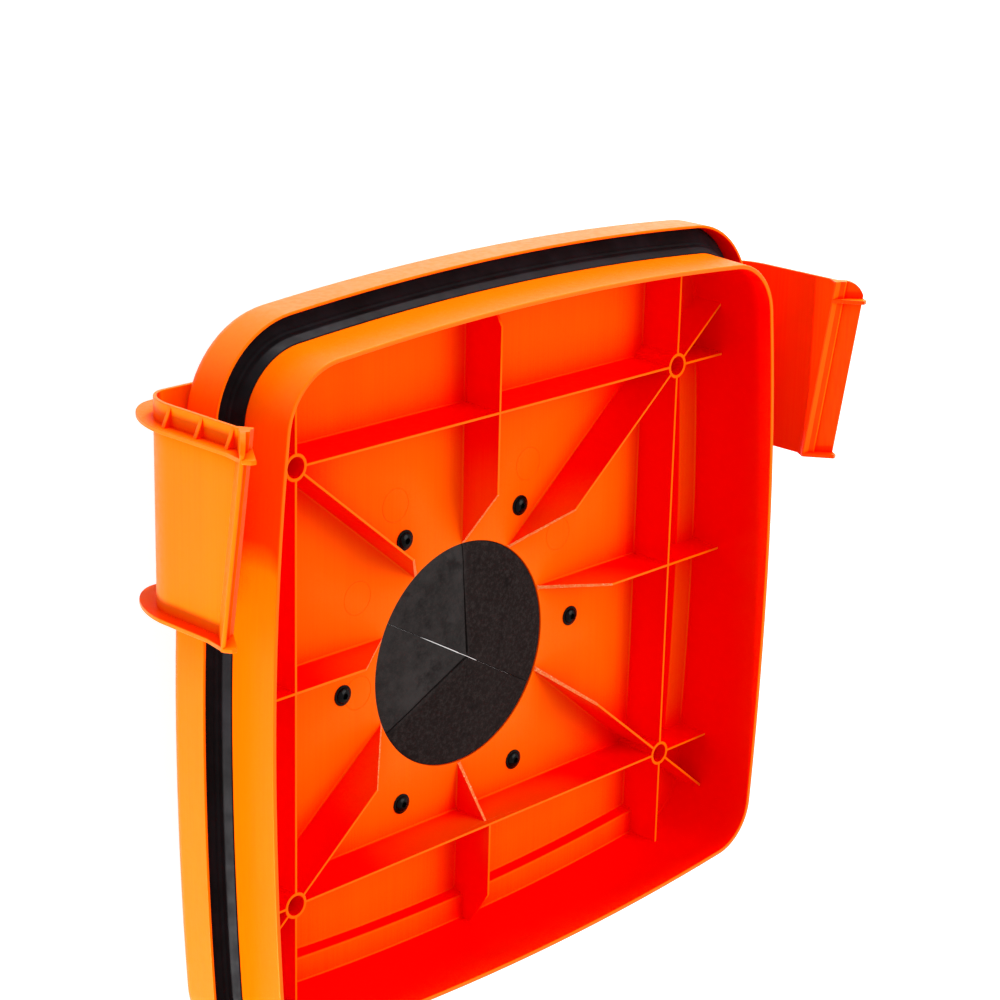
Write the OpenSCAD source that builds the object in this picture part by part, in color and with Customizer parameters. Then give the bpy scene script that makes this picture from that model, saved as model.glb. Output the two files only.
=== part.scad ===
// Splash lid for a near-square mixing tub, lying on its outer (top) face.
// +Z points out of the underside of the lid, the side that faces into the tub.
// The origin is the centre of the lid's outline, on the plane that the lid lies on.
// The latches sit towards the +Y end, the latch end; the -Y end is the plain end.
// The two latched sides face -X and +X.

/* [Lid outline] */
// Half of the rim's width, at its widest line
rim_half_w = 195.5; // [190:0.5:200]
// Place of the widest line along the lid
wide_y = -7.65; // [-10:0.05:0]
// Length of the rim from its widest line to the latch end
latch_end_l = 199.3; // [194:0.1:204]
// How far the sides bow inwards on the way to the latch end
latch_side_bow = 14.7; // [10:0.1:18]
// How far the latch end bows outwards between its corners
latch_end_bow = 10.5; // [8:0.1:14]
// Radius of the corners at the latch end
latch_corner_r = 36.3; // [34:0.1:42]
// Length of the rim from its widest line to the plain end
plain_end_l = 184; // [180:0.1:199]
// How far the sides bow inwards on the way to the plain end
plain_side_bow = 8; // [6:0.1:14]
// How far the plain end bows outwards between its corners
plain_end_bow = 12; // [8:0.1:14]
// Radius of the corners at the plain end
plain_corner_r = 30; // [28:0.1:40]

/* [Lid heights] */
// Outer face of the central plateau
plateau_z = 15.2; // [14:0.1:16]
// Wall of the central plateau
plateau_t = 2.5; // [2:0.1:3]
// Outer face of the strip around the plateau
strip_z = 22; // [21:0.1:23]
// Wall of the strip
strip_t = 2.2; // [2:0.1:3]
// Free edges of the ribs
rib_z = 44; // [40:0.5:46]
// Front edge of the outer flange
flange_z = 48.5; // [46:0.1:52]
// Free edge of the skirt
rim_z = 81.3; // [74:0.1:84]

/* [Lid walls] */
// Wall of the skirt at its free edge
skirt_t = 2.5; // [2:0.1:3]
// How much the skirt's outside spreads from its free edge to the seal
skirt_draft = 1.4; // [1:0.1:2]
// Offset of the flange's outside from the rim's outside
flange_out = 17; // [15:0.1:18]
// Wall of the flange at its front edge
flange_t = 1.6; // [1.4:0.1:2]
// Radius of the edge between the flange and the outer face
edge_r = 7.5; // [6:0.5:8]
// Offset of the plateau's edge inwards from the rim's outside
plateau_in = 18.3; // [16:0.1:20]

/* [Ribs and bosses] */
// Thickness of a rib
rib_t = 2; // [1.6:0.1:2.6]
// Distance of the bosses from the centre, across the lid
boss_x = 147; // [140:1:150]
// Distance of the bosses from the middle rib, along the lid
boss_y = 121.7; // [115:0.1:125]
// Place of the middle of the rib grid along the lid
grid_y = -1.8; // [-4:0.05:0]
// Shift of the middle cross rib from the grid's centre
cross_y = -0.6; // [-1:0.1:0]
// Outer radius of a boss
boss_r = 7.5; // [7:0.1:8]
// Radius of the blind bore in a boss
bore_r = 5.5; // [5:0.1:6]
// Distance from the centre at which the middle rib's free edge starts to slope down
slope_y = 167.85; // [160:0.05:175]
// Angle of that slope, in degrees
slope_a = 32; // [20:1:45]

/* [Hole and diaphragm] */
// Radius of the hole in the plateau
hole_r = 65.8; // [60:0.1:68]
// Place of the hole along the lid
hole_y = -27.1; // [-30:0.05:-24]
// Radius at which the ribs are cut away, at their free edges
trim_top_r = 101.5; // [98:0.5:106]
// Thickness of the foam sheet
foam_t = 6; // [5:0.5:7]
// Radius of the foam sheet
foam_r = 102; // [98:0.5:103]
// How far the middle of the foam stands up, where the slits cross
foam_rise = 7.6; // [0:0.1:10]
// Width of a slit
slit_w = 0.4; // [0.3:0.1:1]

/* [Clamp] */
// Outer radius of the clamp ring
ring_r = 104; // [104:0.5:108]
// Radius of the circle of screws
screw_circle_r = 90.3; // [88:0.1:92]
// Number of screws
screw_count = 6; // [4:1:8]
// Radius of the screws' thread
screw_r = 2.5; // [2:0.5:3]
// Radius of the collar of a screw's head
head_r = 5.9; // [5:0.1:6.5]
// Length of a screw below its head
screw_len = 16; // [15.5:0.1:17]

/* [Latches] */
// Lower end of a latch along the lid
latch_y0 = 58.45; // [55:0.05:65]
// Upper end of a latch along the lid
latch_y1 = 167.85; // [162:0.05:172]
// Outside of the latch's plate, measured from the rim's outside
plate_out = 31.6; // [31:0.1:33]
// Wall of the latch
latch_t = 2; // [1.8:0.1:2.4]
// Height of the hook's ridge, at the upper cheek
hook_z = 96.2; // [92:0.1:98]
// Slope of the latch's free edge, in degrees
hook_slant = 8.53; // [6:0.01:10]
// Thickness of a cheek
cheek_t = 2.4; // [2:0.1:3]
// Length of the plate beyond the upper cheek
plate_over = 10.4; // [9:0.1:12]
// Radius of the lip's corner beyond the upper cheek
lip_r = 12; // [8:0.5:12]

/* [Hinges] */
// Place of the hinge axis inwards from the rim's outside
pivot_in = 2.9; // [2:0.1:4]
// Height of the hinge axis
pivot_z = 11; // [10.8:0.1:11.2]
// Radius of a hinge pin
pin_r = 2.5; // [2.3:0.1:2.6]
// Running clearance around a pin in the cheeks
pin_play = 0.08; // [0.05:0.01:0.1]
// Width of a lug
lug_w = 14; // [12:0.5:15]
// Radius of a lug around the pin
lug_r = 8; // [7:0.5:8]

/* [Hidden] */
$fn = 96;
side_steps = 4;
corner_steps = 8;
eps = 0.01;
layer = 0.3;
lid_colour = "#ff6a10";
latch_colour = "#ff7a14";
black = "#1c1c1e";
steel = "#b8b8ba";

plateau_in_z = plateau_z + plateau_t;
strip_in_z = strip_z + strip_t;
riser_w = 1.8;
skirt_foot = skirt_draft * (rim_z - strip_in_z) / (rim_z - 52.5);
flange_foot_in = flange_out - 1.9;
floor_r = flange_foot_in - flange_out + edge_r;
fillet_c = [flange_out - edge_r, strip_z + edge_r];
floor_c = [fillet_c.x, strip_in_z + floor_r];

seal_side_z = 52.4;
seal_mid = [6.7, 45];
seal_out_z = 37;
seal_gap = 0.15;
seal_r = floor_r - 0.4;

hole_c = [0, hole_y];
foam_z = plateau_z - foam_t;
washer_t = 1;
washer_r = 5;
nut_t = 4;
nut_r = 4 / cos(30);
recess_r = 7;
screw_end_z = plateau_in_z - screw_len;
nut_z = screw_end_z + 0.5;
recess_z = nut_z + nut_t + washer_t;

plate_x = rim_half_w + plate_out;
pivot_x = rim_half_w - pivot_in;
leg_z = strip_z - 0.8 - latch_t;
cheek_y = [latch_y0, latch_y1 - plate_over - cheek_t];
lug_y = [latch_y0 + 14, cheek_y[1] - 12 - lug_w];
bend = [15.6, 22.8];
rise = tan(hook_slant);

// Points along a circular or elliptical arc
function arc(c, rx, rz, a0, a1, n = 8) =
    [for (i = [0:n]) c + [rx * cos(a0 + (a1 - a0) * i / n), rz * sin(a0 + (a1 - a0) * i / n)]];

// Points along a quarter of a superellipse, from its right end to its lower end
function soft_quarter(c, rx, rz, power, n = 12) =
    [for (i = [0:n]) c + [rx * pow(cos(90 * i / n), 2 / power),
                          -rz * pow(sin(90 * i / n), 2 / power)]];

// Height of the hook's ridge at a place along the lid
function hook_at(y) = hook_z + rise * (y - cheek_y[1]);

// The arcs of a side, a corner and an end: each is tangent to the next
function end_arcs(end_l, side_bow, end_bow, corner_r) =
    let (side_r = pow(end_l, 2) / (2 * side_bow),
         end_r = pow(rim_half_w, 2) / (2 * end_bow),
         side_c = [rim_half_w - side_r, 0],
         end_c = [0, end_l - end_r],
         centres = end_c - side_c,
         along = (pow(side_r - corner_r, 2) - pow(end_r - corner_r, 2)
                  + pow(norm(centres), 2)) / (2 * norm(centres)),
         across = sqrt(pow(side_r - corner_r, 2) - pow(along, 2)),
         unit = centres / norm(centres),
         corner_c = side_c + along * unit + across * [-unit.y, unit.x],
         side_a = atan2(corner_c.y - side_c.y, corner_c.x - side_c.x),
         end_a = atan2(corner_c.y - end_c.y, corner_c.x - end_c.x))
    [[side_c, side_r, 0, side_a, side_steps],
     [corner_c, corner_r, side_a, end_a, corner_steps],
     [end_c, end_r, end_a, 90, side_steps]];

latch_arcs = end_arcs(latch_end_l, latch_side_bow, latch_end_bow, latch_corner_r);
plain_arcs = end_arcs(plain_end_l, plain_side_bow, plain_end_bow, plain_corner_r);

// One quarter of the outline as points, at an offset from the rim's outside
function quarter(arcs, d) =
    [for (a = arcs) each arc(a[0], a[1] + d, a[1] + d, a[2], a[3], a[4])];

// A list of points from its last to its first
function backwards(q) = [for (i = [len(q) - 1 : -1 : 0]) q[i]];

// The whole outline, from a quarter of each end and their mirror images
function outline(d) =
    let (a = quarter(latch_arcs, d), b = quarter(plain_arcs, d))
    [for (p = concat(a, [for (p = backwards(a)) [-p.x, p.y]],
                     -b, [for (p = backwards(b)) [p.x, -p.y]]))
        p + [0, wide_y]];

// A flat plate that fills the outline at an offset
module plate(d, z0, z1)
    translate([0, 0, z0]) linear_extrude(z1 - z0) polygon(outline(d));

// A smooth body through the outline at a list of [offset, height] places
module through(section) {
    low = section[0].y;
    high = section[len(section) - 1].y;
    hull() for (p = section)
        plate(p.x, max(low, p.y - layer / 2), min(high, p.y + layer / 2));
}

// Copies its children to every screw position
module at_screws()
    translate([hole_c.x, hole_c.y, 0])
        for (i = [0 : screw_count - 1]) rotate(i * 360 / screw_count)
            translate([screw_circle_r, 0, 0]) children();

// Copies its children to every boss position
module at_bosses()
    for (sx = [-1, 1], sy = [-1, 1]) translate([sx * boss_x, grid_y + sy * boss_y, 0])
        children();

// Outside of the flange and the strip, filled
module pan_outside()
    through(concat(arc(fillet_c, edge_r, edge_r, 270, 360, 5), [[flange_out, flange_z]]));

// Hollow of the plateau, between its inner face and the strip's
module plateau_hollow()
    through([[-plateau_in - riser_w / 2, plateau_in_z],
             [-plateau_in + riser_w / 2, strip_in_z + 1]]);

// Flange and strip, with the plateau stepped out of them and its holes
module lid_pan() color(lid_colour)
    difference() {
        union() {
            difference() {
                pan_outside();
                through(concat(arc(floor_c, floor_r, floor_r, 270, 360, 4),
                               [[flange_out - flange_t, flange_z + 1]]));
            }
            through([[-plateau_in + riser_w / 2 + 0.4, plateau_z],
                     [-plateau_in + riser_w * 3 / 2 + 0.4, strip_z + 1]]);
        }
        plateau_hollow();
        translate([hole_c.x, hole_c.y, 0]) cylinder(r = hole_r, h = rib_z, $fn = 180);
        at_screws() cylinder(r = screw_r + 0.25, h = rib_z - 1);
    }

// Tapered wall that stands on the strip and goes into the tub
module lid_skirt() color(lid_colour)
    difference() {
        through([[skirt_foot, strip_in_z], [0, rim_z]]);
        plate(-skirt_t, strip_in_z - 1, rim_z + 1);
    }

// A rib that runs both ways from a point, at an angle
module rib(p, angle)
    translate([p.x, p.y, 0]) rotate(angle) translate([-300, -rib_t / 2, 0])
        cube([600, rib_t, rib_z]);

// Trims its children to the room inside the lid, the bosses and a funnel around the hole
// The funnel ends at the cross rib next to the plain end
module trimmed()
    difference() {
        intersection() {
            children();
            union() {
                plate(-skirt_t, strip_in_z, rib_z);
                plateau_hollow();
            }
        }
        at_bosses() cylinder(r = boss_r, h = rib_z + 1);
        intersection() {
            translate([hole_c.x, hole_c.y, plateau_in_z])
                cylinder(r1 = hole_r + 0.2, r2 = trim_top_r, h = rib_z - plateau_in_z + eps);
            translate([-boss_x, grid_y - boss_y + rib_t / 2, 0])
                cube([2 * boss_x, 2 * boss_y, rib_z + 1]);
        }
        for (turn = [0, 180]) rotate(turn) translate([-5, slope_y, rib_z])
            rotate([-slope_a, 0, 0]) cube([10, 40, 40]);
    }

// The three ribs along the lid, without any trimming
module uncut_long_ribs()
    for (x = [-boss_x, 0, boss_x]) rib([x, 0], 90);

module long_ribs() color(lid_colour)
    trimmed() uncut_long_ribs();

module cross_ribs() color(lid_colour)
    trimmed() difference() {
        for (y = [-boss_y, cross_y, boss_y]) rib([0, grid_y + y], 0);
        uncut_long_ribs();
    }

module diagonal_ribs() color(lid_colour)
    trimmed() for (s = [-1, 1]) rib([0, grid_y], s * atan2(boss_y, boss_x));

module corner_bosses() color(lid_colour)
    difference() {
        at_bosses() translate([0, 0, plateau_in_z])
            cylinder(r = boss_r, h = rib_z - plateau_in_z);
        at_bosses() cylinder(r = bore_r, h = rib_z + 1);
    }

// Lugs under the strip that carry the latches' hinge pins
module hinge_lugs() color(lid_colour)
    difference() {
        for (side = [0, 1], y = lug_y) mirror([side, 0, 0])
            translate([pivot_x, y + lug_w, 0]) rotate([90, 0, 0]) linear_extrude(lug_w) {
                translate([0, pivot_z]) circle(lug_r);
                translate([-lug_r, pivot_z]) square([2 * lug_r, strip_z + 2 - pivot_z]);
            }
        pan_outside();
        for (side = [0, 1]) mirror([side, 0, 0])
            translate([pivot_x, latch_y0, pivot_z]) rotate([-90, 0, 0])
                cylinder(r = pin_r, h = latch_y1 - latch_y0);
    }

module rim_seal() color(black)
    difference() {
        union() {
            through(concat([[floor_c.x - 0.4, strip_in_z]],
                           arc(floor_c, seal_r, seal_r, 300, 360, 2),
                           [[floor_c.x + seal_r, seal_out_z], seal_mid]));
            through([seal_mid - [0, 1], [skirt_foot - 0.4, seal_side_z]]);
        }
        through([[skirt_foot + seal_gap, strip_in_z - 1],
                 [skirt_draft + seal_gap, seal_side_z + 1]]);
    }

module foam_diaphragm() color(black)
    difference() {
        translate([hole_c.x, hole_c.y, foam_z])
            rotate_extrude($fn = 180)
                polygon([[0, foam_rise], [hole_r - 1, 0], [foam_r, 0], [foam_r, foam_t],
                         [hole_r - 1, foam_t], [0, foam_t + foam_rise]]);
        for (i = [0:2]) translate([hole_c.x, hole_c.y, 0]) rotate(30 + 60 * i)
            translate([-hole_r + 2, -slit_w / 2, 0])
                cube([2 * hole_r - 4, slit_w, plateau_in_z + foam_rise]);
        at_screws() cylinder(r = screw_r + 0.25, h = plateau_in_z);
    }

module clamp_ring() color(lid_colour)
    difference() {
        translate([hole_c.x, hole_c.y, 0])
            rotate_extrude($fn = 180)
                polygon([[hole_r + 3, 0], [ring_r - 2, 0], [ring_r, 2], [ring_r, foam_z],
                         [hole_r, foam_z], [hole_r, 3]]);
        at_screws() {
            cylinder(r = screw_r + 0.25, h = foam_z + 1);
            translate([0, 0, -1]) cylinder(r = recess_r, h = recess_z + 1);
        }
    }

module clamp_screws() color(black)
    at_screws() {
        translate([0, 0, screw_end_z]) cylinder(r = screw_r, h = screw_len + 0.5);
        difference() {
            translate([0, 0, plateau_in_z]) rotate_extrude()
                polygon(concat([[0, 0], [head_r, 0], [head_r, 0.6], [head_r - 0.3, 0.9]],
                               arc([0, 0.9], 4.7, 1.9, 0, 90), [[0, 0]]));
            translate([0, 0, plateau_in_z + 1]) cylinder(r = 1.5 / cos(30), h = 3, $fn = 6);
        }
    }

module clamp_washers() color(steel)
    at_screws() translate([0, 0, recess_z - washer_t]) difference() {
        cylinder(r = washer_r, h = washer_t);
        translate([0, 0, -1]) cylinder(r = screw_r + 0.15, h = washer_t + 2);
    }

module clamp_nuts() color(steel)
    at_screws() translate([0, 0, nut_z]) difference() {
        cylinder(r = nut_r, h = nut_t, $fn = 6);
        translate([0, 0, -1]) cylinder(r = screw_r, h = nut_t + 2);
    }

// A flat shape of [x, height] points with a thickness along the lid
module along_lid(y, width)
    translate([0, y + width, 0]) rotate([90, 0, 0]) linear_extrude(width) children();

// The short leg over the lid, the rounded bend and the plate
module latch_wall() {
    bend_c = [plate_x - bend.x, leg_z + bend.y];
    difference() {
        along_lid(latch_y0, latch_y1 - latch_y0) polygon(concat(
            [[pivot_x - 3, leg_z]],
            arc(bend_c, bend.x, bend.y, 270, 360),
            [[plate_x, hook_z + 20], [plate_x - latch_t, hook_z + 20]],
            arc(bend_c, bend.x - latch_t, bend.y - latch_t, 360, 270),
            [[pivot_x - 3, leg_z + latch_t]]));
        translate([plate_x - 10, cheek_y[1], hook_z - 3]) rotate([hook_slant, 0, 0])
            translate([0, -150, 0]) cube([20, 200, 60]);
    }
}

// The hook's ridge inside and the lip that flares outwards, along the slanted edge
module latch_hook() {
    inner = plate_x - latch_t;
    difference() {
        intersection() {
            translate([0, cheek_y[1], hook_z]) rotate([hook_slant, 0, 0])
                rotate([90, 0, 0]) linear_extrude(260, center = true)
                    polygon([[inner, -7.3], [inner - 4.6, 0], [inner - 0.2, 1.2],
                             [inner + 10.1, 11.3], [plate_x + 9.7, 9.7], [plate_x, -3.7],
                             [plate_x, -7.3]]);
            along_lid(latch_y0, latch_y1 - latch_y0)
                translate([inner - 10, 0]) square([30, 140]);
        }
        translate([inner, latch_y1, hook_at(latch_y1)]) rotate([0, -45, 0])
            translate([2.6, -lip_r, -10]) linear_extrude(20) difference() {
                square([20, 20]);
                circle(lip_r);
            }
    }
}

// A cheek: it stands out from the plate, wraps the bend and carries the hinge pin
module cheek(y) {
    top = hook_at(y + cheek_t / 2);
    mid_x = plate_x - latch_t / 2;
    foot_z = leg_z - 17.1;
    bend_c = [plate_x - bend.x, leg_z + bend.y];
    along_lid(y, cheek_t) polygon(concat(
        [[mid_x, top - 9], [plate_x - latch_t - 4.6, top], [plate_x + 4.3, top + 15.4],
         [plate_x + 6.9, top + 14.7], [plate_x + 9.3, top + 11], [plate_x + 6.7, top - 4]],
        soft_quarter([plate_x - 21.1, 44], 27.9, 44 - foot_z, 1.8),
        [[pivot_x - 5, foot_z], [pivot_x - 9.5, foot_z + 3.5], [pivot_x - 11.9, pivot_z - 1.4],
         [pivot_x - 9.5, pivot_z + 3.5], [pivot_x - 3, leg_z + latch_t / 2]],
        arc(bend_c, bend.x - latch_t / 2, bend.y - latch_t / 2, 270, 360)));
}

// A small web between the upper cheek and the plate
module gusset(z)
    translate([0, 0, z - 1]) linear_extrude(2)
        polygon([[plate_x - latch_t / 2, cheek_y[1] + cheek_t / 2],
                 [plate_x + 6.4, cheek_y[1] + cheek_t / 2],
                 [plate_x + 6.4, cheek_y[1] + cheek_t], [plate_x, latch_y1],
                 [plate_x - latch_t / 2, latch_y1]]);

module latch()
    difference() {
        union() {
            latch_wall();
            latch_hook();
            for (y = cheek_y) cheek(y);
            for (z = [44, 67.5, 90]) gusset(z);
        }
        translate([pivot_x, latch_y0 - 1, pivot_z]) rotate([-90, 0, 0])
            cylinder(r = pin_r + pin_play, h = latch_y1 - latch_y0);
        for (y = lug_y) translate([pivot_x - 12, y - 1, leg_z - 1])
            cube([23, lug_w + 2, latch_t + 2]);
    }

module hinge_pin()
    translate([pivot_x, cheek_y[0] - 1.6, pivot_z]) rotate([-90, 0, 0]) {
        cylinder(r = pin_r + 1.5, h = 1.4);
        cylinder(r = pin_r, h = cheek_y[1] - cheek_y[0] + cheek_t + 2.6);
    }

module latch_right() color(latch_colour) latch();
module latch_left() color(latch_colour) mirror([1, 0, 0]) latch();
module hinge_pin_right() color(steel) hinge_pin();
module hinge_pin_left() color(steel) mirror([1, 0, 0]) hinge_pin();

lid_pan();
lid_skirt();
long_ribs();
cross_ribs();
diagonal_ribs();
corner_bosses();
hinge_lugs();
rim_seal();
foam_diaphragm();
clamp_ring();
clamp_screws();
clamp_washers();
clamp_nuts();
latch_left();
latch_right();
hinge_pin_left();
hinge_pin_right();
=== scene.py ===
"""Looks of the mixing tub splash lid: detailed meshes and materials around the parts.

Outlines and sections are in millimetres, in the frame's axes, and become metres in
finished(). Materials, floor, lamps and camera are in metres.
Heights rise from the face that the lid can lie on, the clamp ring's, to the skirt's rim.
A name with IN in it is a height on the side that faces the tub.
"""
import math
import bmesh
import bpy
from mathutils import Matrix, Vector, noise


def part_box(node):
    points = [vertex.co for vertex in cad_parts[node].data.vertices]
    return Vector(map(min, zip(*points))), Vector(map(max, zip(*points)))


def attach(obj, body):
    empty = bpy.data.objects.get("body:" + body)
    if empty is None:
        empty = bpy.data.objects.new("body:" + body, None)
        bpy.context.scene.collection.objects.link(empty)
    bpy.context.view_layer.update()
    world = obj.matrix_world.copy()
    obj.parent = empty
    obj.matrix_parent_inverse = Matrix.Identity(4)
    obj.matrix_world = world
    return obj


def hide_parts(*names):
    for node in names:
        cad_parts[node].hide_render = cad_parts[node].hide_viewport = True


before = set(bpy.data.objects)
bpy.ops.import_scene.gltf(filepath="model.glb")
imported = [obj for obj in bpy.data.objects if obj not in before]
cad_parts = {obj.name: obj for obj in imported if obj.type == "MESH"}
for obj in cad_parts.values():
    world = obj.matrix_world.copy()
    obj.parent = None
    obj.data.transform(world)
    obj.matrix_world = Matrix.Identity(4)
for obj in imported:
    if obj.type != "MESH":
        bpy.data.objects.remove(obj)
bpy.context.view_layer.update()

MM = 0.001


def span(node):
    """Lowest and highest corner of a CAD node, in millimetres."""
    low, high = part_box(node)
    return Vector(low) / MM, Vector(high) / MM


# ---- sizes taken from the frame
pan_low, pan_high = span("lid_pan")
skirt_low, skirt_high = span("lid_skirt")
ribs_high = span("long_ribs")[1]
boss_low, boss_high = span("corner_bosses")
ring_low, ring_high = span("clamp_ring")
screws_low = span("clamp_screws")[0]
washers_low, washers_high = span("clamp_washers")
nuts_low, nuts_high = span("clamp_nuts")
latch_low, latch_high = span("latch_right")
pin_low, pin_high = span("hinge_pin_right")

FLANGE_OUT = 17.0
PLATEAU_Z = pan_low.z
FLANGE_Z = pan_high.z
STRIP_IN_Z = skirt_low.z
RIM_Z = skirt_high.z
RIB_Z = ribs_high.z
HALF_W = pan_high.x - FLANGE_OUT
PLATEAU_T = 2.5
STRIP_T = 2.2
PLATEAU_IN_Z = PLATEAU_Z + PLATEAU_T
STRIP_Z = STRIP_IN_Z - STRIP_T

# ---- sizes of the moulding
# The outline has its widest line at WIDE_Y. Each end has its length from there, the bow of
# its half side, the bow of its end and its corner radius.
WIDE_Y = -7.65
LATCH_END = (pan_high.y - FLANGE_OUT - WIDE_Y, 14.7, 10.5, 36.3)
PLAIN_END = (WIDE_Y - pan_low.y - FLANGE_OUT, 8.0, 12.0, 30.0)
SIDE_STEPS = 9
CORNER_STEPS = 15
SKIRT_T = 2.5
SKIRT_FOOT = 2.78
BOSS_R = 7.5
BORE_R = 5.5
BOSS_X = boss_high.x - BOSS_R
BOSS_Y = (boss_high.y - boss_low.y) / 2 - BOSS_R
GRID_Y = (boss_high.y + boss_low.y) / 2
CROSS_Y = GRID_Y - 0.6
RIB_T = 2.0
ROOT_Z = PLATEAU_IN_Z - 1.2
HOLE_R = 65.8
HOLE_Y = (ring_high.y + ring_low.y) / 2
RING_R = (ring_high.y - ring_low.y) / 2

# The ribs around the hole are sawn along a cone, but for the plain end's cross rib.
TRIM_R = 101.5
SAW_Y = GRID_Y - BOSS_Y + 0.8
SAW_TOP_Z = RIB_Z + 0.8
SLOPE_Y = 167.85
SLOPE_A = math.radians(32)

SCREW_COUNT = 6
SCREW_CIRCLE = 90.3
SCREW_R = 2.5
HEAD_R = 5.9
RECESS_R = 7.0
FOAM_T = 6.0
FOAM_R = 102.0
FOAM_RISE = 7.6
FOAM_Z = PLATEAU_Z - FOAM_T

# ---- sizes of the latches
LATCH_T = 2.0
HOOK_SLANT = math.radians(8.53)
HOOK_Z = 96.2
PLATE_X = HALF_W + 31.6
LEG_Z = STRIP_Z - 0.8 - LATCH_T
CHEEK_T = 2.4
GUSSET_Z = (44, 67.5, 90)
PLATE_OVER = 10.4
LIP_R = 12.0
BEND = (15.6, 22.8)
BEND_C = (PLATE_X - BEND[0], LEG_Z + BEND[1])
LATCH_Y0 = latch_low.y
LATCH_Y1 = latch_high.y
CHEEK_Y = (LATCH_Y0, LATCH_Y1 - PLATE_OVER - CHEEK_T)
PIVOT_X = (pin_low.x + pin_high.x) / 2
PIVOT_Z = (pin_low.z + pin_high.z) / 2
LEG_X = PIVOT_X - 3
PIN_R = 2.5
LUG_R = 8.0
LUG_W = 14.0
LUG_Y = (LATCH_Y0 + 14, CHEEK_Y[1] - 12 - LUG_W)


# ======== outline of the lid
def arc_stations(centre, radius, start, end, steps):
    """Centre, radius and outward direction in even steps along an arc, without its end."""
    angles = [start + (end - start) * i / steps for i in range(steps)]
    return [(centre, radius, Vector((math.cos(a), math.sin(a)))) for a in angles]


def end_stations(length, side_bow, end_bow, corner_r):
    """Stations of one quarter of the lid, from its widest line to the middle of an end."""
    side_r = length ** 2 / (2 * side_bow)
    end_r = HALF_W ** 2 / (2 * end_bow)
    side_c = Vector((HALF_W - side_r, 0))
    end_c = Vector((0, length - end_r))
    gap = end_c - side_c
    reach_side = side_r - corner_r
    reach_end = end_r - corner_r
    along = (reach_side ** 2 - reach_end ** 2 + gap.length ** 2) / (2 * gap.length)
    across = math.sqrt(reach_side ** 2 - along ** 2)
    unit = gap.normalized()
    corner_c = side_c + along * unit + across * Vector((-unit.y, unit.x))
    side_a = math.atan2(corner_c.y - side_c.y, corner_c.x - side_c.x)
    end_a = math.atan2(corner_c.y - end_c.y, corner_c.x - end_c.x)
    quarter = arc_stations(side_c, side_r, 0, side_a, SIDE_STEPS)
    quarter += arc_stations(corner_c, corner_r, side_a, end_a, CORNER_STEPS)
    quarter += arc_stations(end_c, end_r, end_a, math.pi / 2, SIDE_STEPS)
    return quarter + [(end_c, end_r, Vector((0, 1)))]


def outline_stations():
    """Stations anticlockwise around the lid: bowed sides, bowed ends and round corners."""

    def flip(station, sx, sy):
        centre, radius, way = station
        return (Vector((sx * centre.x, sy * centre.y + WIDE_Y)), radius,
                Vector((sx * way.x, sy * way.y)))

    upper = end_stations(*LATCH_END)
    lower = end_stations(*PLAIN_END)
    return ([flip(s, 1, 1) for s in upper]
            + [flip(s, -1, 1) for s in upper[-2::-1]]
            + [flip(s, -1, -1) for s in lower[1:]]
            + [flip(s, 1, -1) for s in lower[-2:0:-1]])


STATIONS = outline_stations()


def at_offset(station, offset):
    """Point of the outline at a station, moved outwards by an offset."""
    centre, radius, way = station
    return centre + (radius + offset) * way


# ======== mesh helpers
def vectors(points):
    return [Vector(p) for p in points]


def quarter_angles(steps):
    """Even steps of a right angle, from 0 to its end."""
    return [math.pi / 2 * k / steps for k in range(steps + 1)]


def rounded(points, steps, closed=True):
    """Replaces the corners of (x, y, radius) points by arcs that never meet each other."""
    nearly_straight = 0.01
    share = 0.49
    out = []
    count = len(points)
    for i, (x, y, radius) in enumerate(points):
        corner = Vector((x, y))
        at_end = not closed and i in (0, count - 1)
        if radius == 0 or at_end:
            out.append(corner)
            continue
        back = Vector(points[i - 1][:2]) - corner
        ahead = Vector(points[(i + 1) % count][:2]) - corner
        limit = share * min(back.length, ahead.length)
        back.normalize()
        ahead.normalize()
        half = back.angle(ahead) / 2
        if math.pi / 2 - half < nearly_straight:
            out.append(corner)
            continue
        reach = min(radius / math.tan(half), limit)
        r = reach * math.tan(half)
        centre = corner + (back + ahead).normalized() * (r / math.sin(half))
        first = corner + back * reach - centre
        last = corner + ahead * reach - centre
        start = math.atan2(first.y, first.x)
        turn = math.atan2(last.y, last.x) - start
        turn = (turn + math.pi) % (2 * math.pi) - math.pi
        for k in range(steps + 1):
            a = start + turn * k / steps
            out.append(centre + r * Vector((math.cos(a), math.sin(a))))
    return out


def inset(points, distance):
    """Moves a closed outline's points inwards by a distance, less at very sharp corners."""
    sharpest = 0.3
    count = len(points)
    area = sum(points[i - 1].cross(points[i]) for i in range(count))
    side = 1 if area > 0 else -1
    out = []
    for i, p in enumerate(points):
        before = (p - points[i - 1]).normalized()
        after = (points[(i + 1) % count] - p).normalized()
        n0 = side * Vector((-before.y, before.x))
        n1 = side * Vector((-after.y, after.x))
        out.append(p + (n0 + n1) * distance / max(sharpest, 1 + n0.dot(n1)))
    return out


def solid(verts, faces):
    """A closed mesh object in millimetres, with its faces turned outwards."""
    mesh = bpy.data.meshes.new("part")
    mesh.from_pydata([tuple(v) for v in verts], [], faces)
    work = bmesh.new()
    work.from_mesh(mesh)
    bmesh.ops.remove_doubles(work, verts=work.verts, dist=1e-4)
    bmesh.ops.recalc_face_normals(work, faces=work.faces)
    for face in work.faces:
        face.smooth = True
    work.to_mesh(mesh)
    work.free()
    obj = bpy.data.objects.new("part", mesh)
    bpy.context.scene.collection.objects.link(obj)
    return obj


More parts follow.
